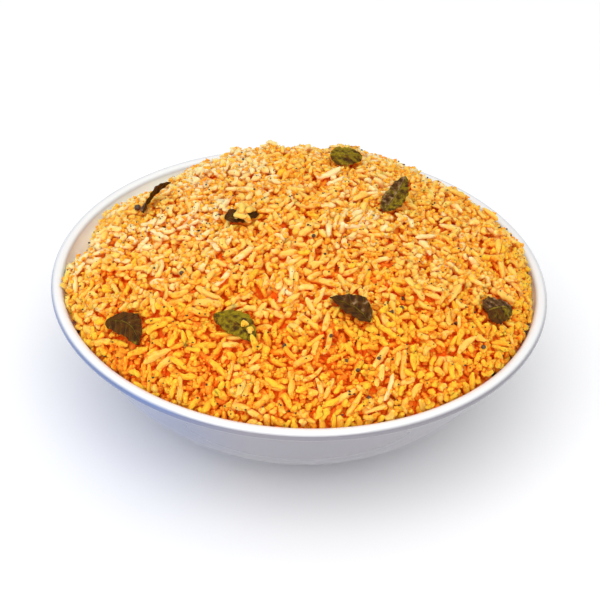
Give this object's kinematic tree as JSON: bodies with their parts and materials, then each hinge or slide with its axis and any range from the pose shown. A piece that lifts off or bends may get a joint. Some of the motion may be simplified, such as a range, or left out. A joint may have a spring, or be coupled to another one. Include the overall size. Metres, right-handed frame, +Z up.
{
  "type": "bowl of spiced ghee rice",
  "caption": "Round white glazed bowl with a rolled rim and foot ring, heaped in a dome with spiced ghee rice, mustard seeds and fried curry leaves.",
  "frame": {"origin": "centre of the flat face of the foot ring, which is also the bottom centre of the bounding box", "axes": "+Z up along the bowl's axis; +X to the viewer's right and +Y away from the viewer, as in the picture"},
  "size_m": [0.18, 0.18, 0.084],
  "materials": {
    "glazed_white": "glossy white glaze over fired clay, cool in shadow",
    "spiced_rice": null,
    "fried_leaf": null
  },
  "bodies": {
    "root": {"bowl": "glazed_white", "rice_heap": "spiced_rice", "curry_leaf_1": "fried_leaf", "curry_leaf_2": "fried_leaf", "curry_leaf_3": "fried_leaf", "curry_leaf_4": "fried_leaf", "curry_leaf_5": "fried_leaf", "curry_leaf_6": "fried_leaf", "curry_leaf_7": "fried_leaf", "curry_leaf_8": "fried_leaf"}
  },
  "joints": []
}
